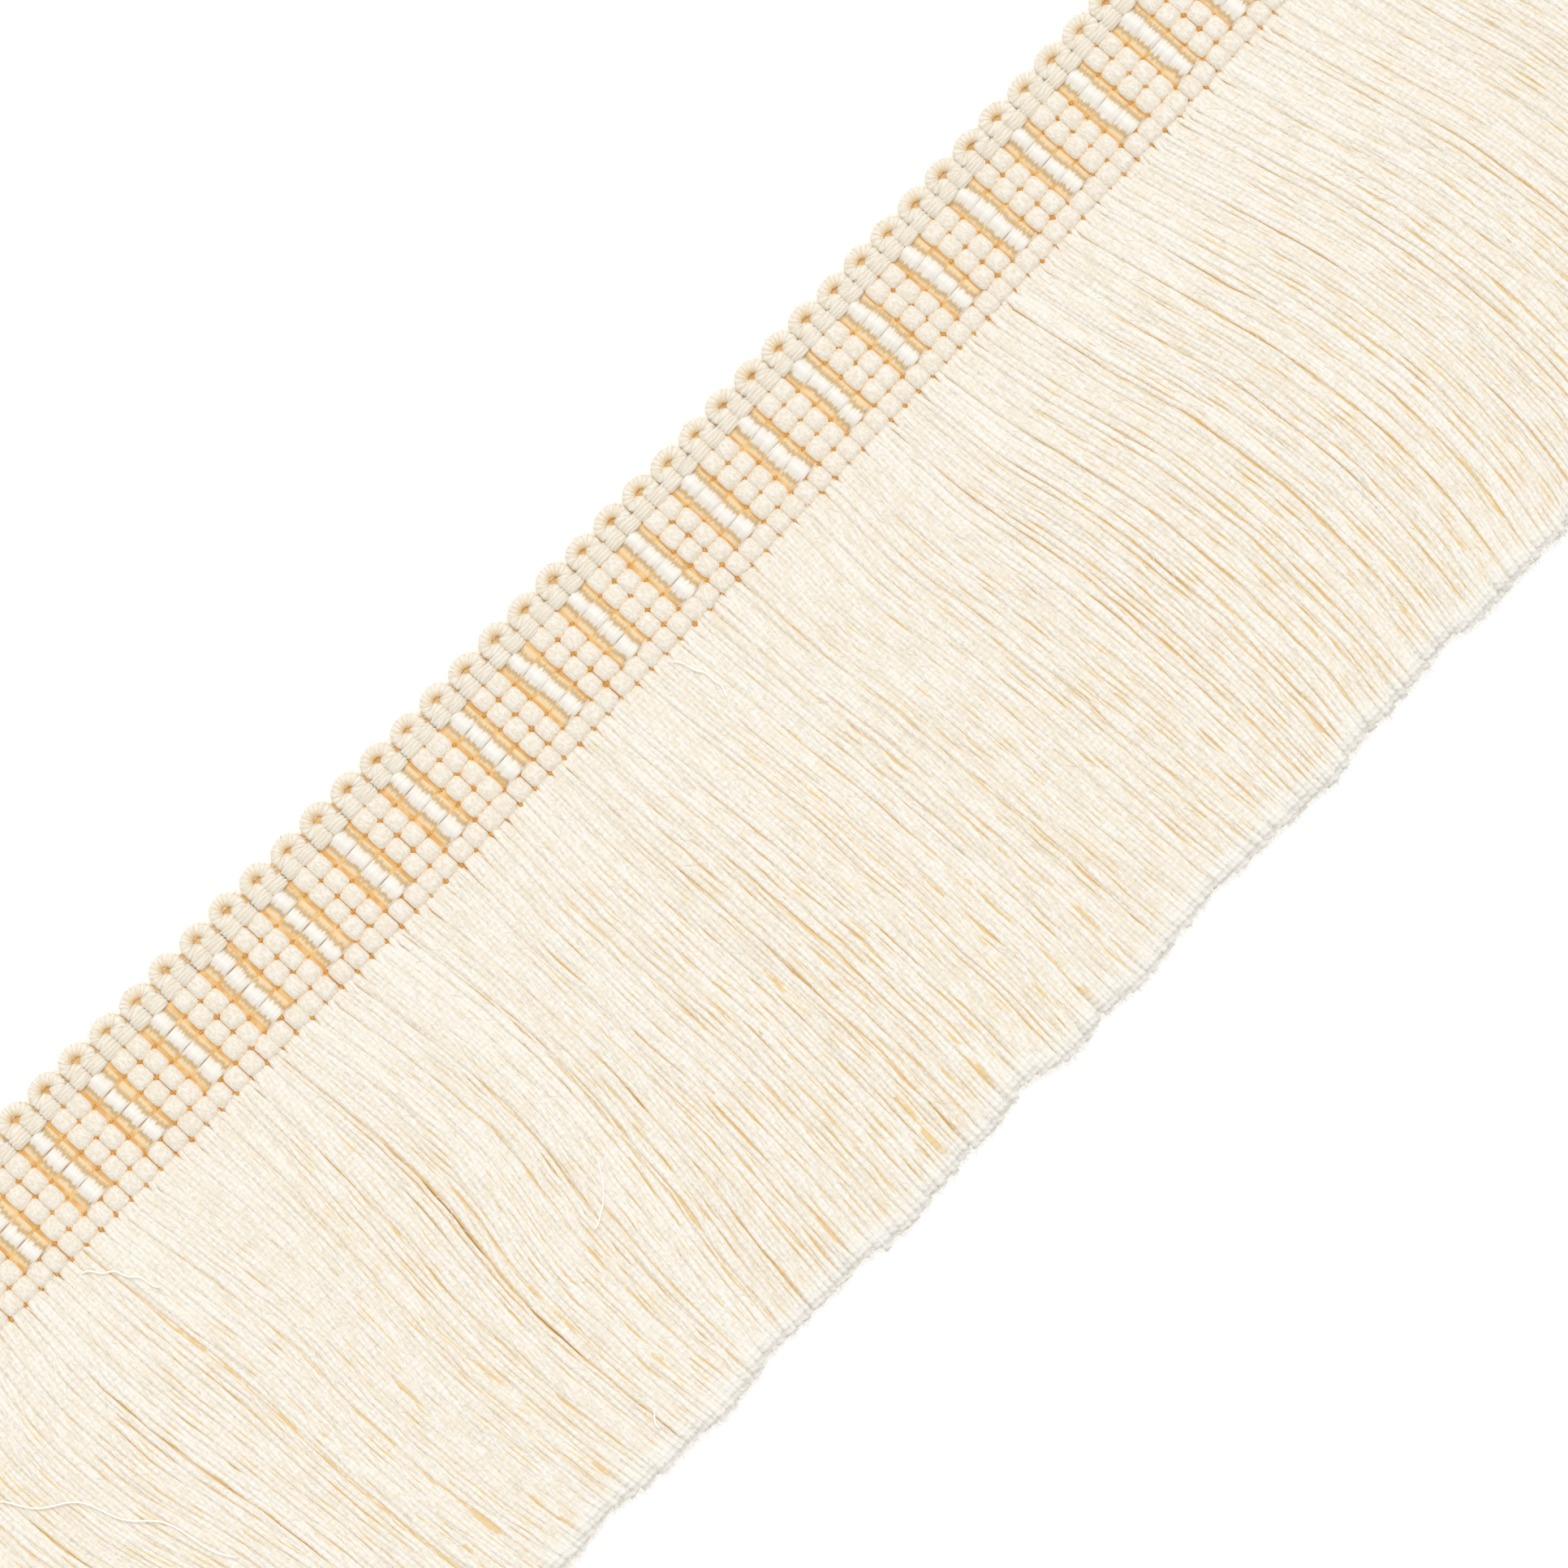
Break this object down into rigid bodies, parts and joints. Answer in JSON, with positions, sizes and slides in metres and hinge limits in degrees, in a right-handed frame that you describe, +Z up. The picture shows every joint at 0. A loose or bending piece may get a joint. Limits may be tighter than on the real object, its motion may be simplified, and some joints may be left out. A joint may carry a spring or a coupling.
{
  "type": "chainette fringe trim",
  "caption": "Flat cut length of furnishing trim: a woven braid heading with a scalloped edge and satin columns, and a skirt of fine chainette strands cut level.",
  "frame": {"origin": "middle of the bounding box, on the face that the trim lies on", "axes": "+X along the trim, +Y from the strands towards the scalloped heading, +Z up out of the face it lies on"},
  "size_m": [0.2582, 0.0788, 0.0022],
  "materials": {
    "braid": "ivory woven yarn with satin floats",
    "chainette": "ivory twisted yarn with a soft sheen"
  },
  "bodies": {
    "root": {"heading_braid": "braid", "fringe_skirt": "chainette"}
  },
  "joints": []
}
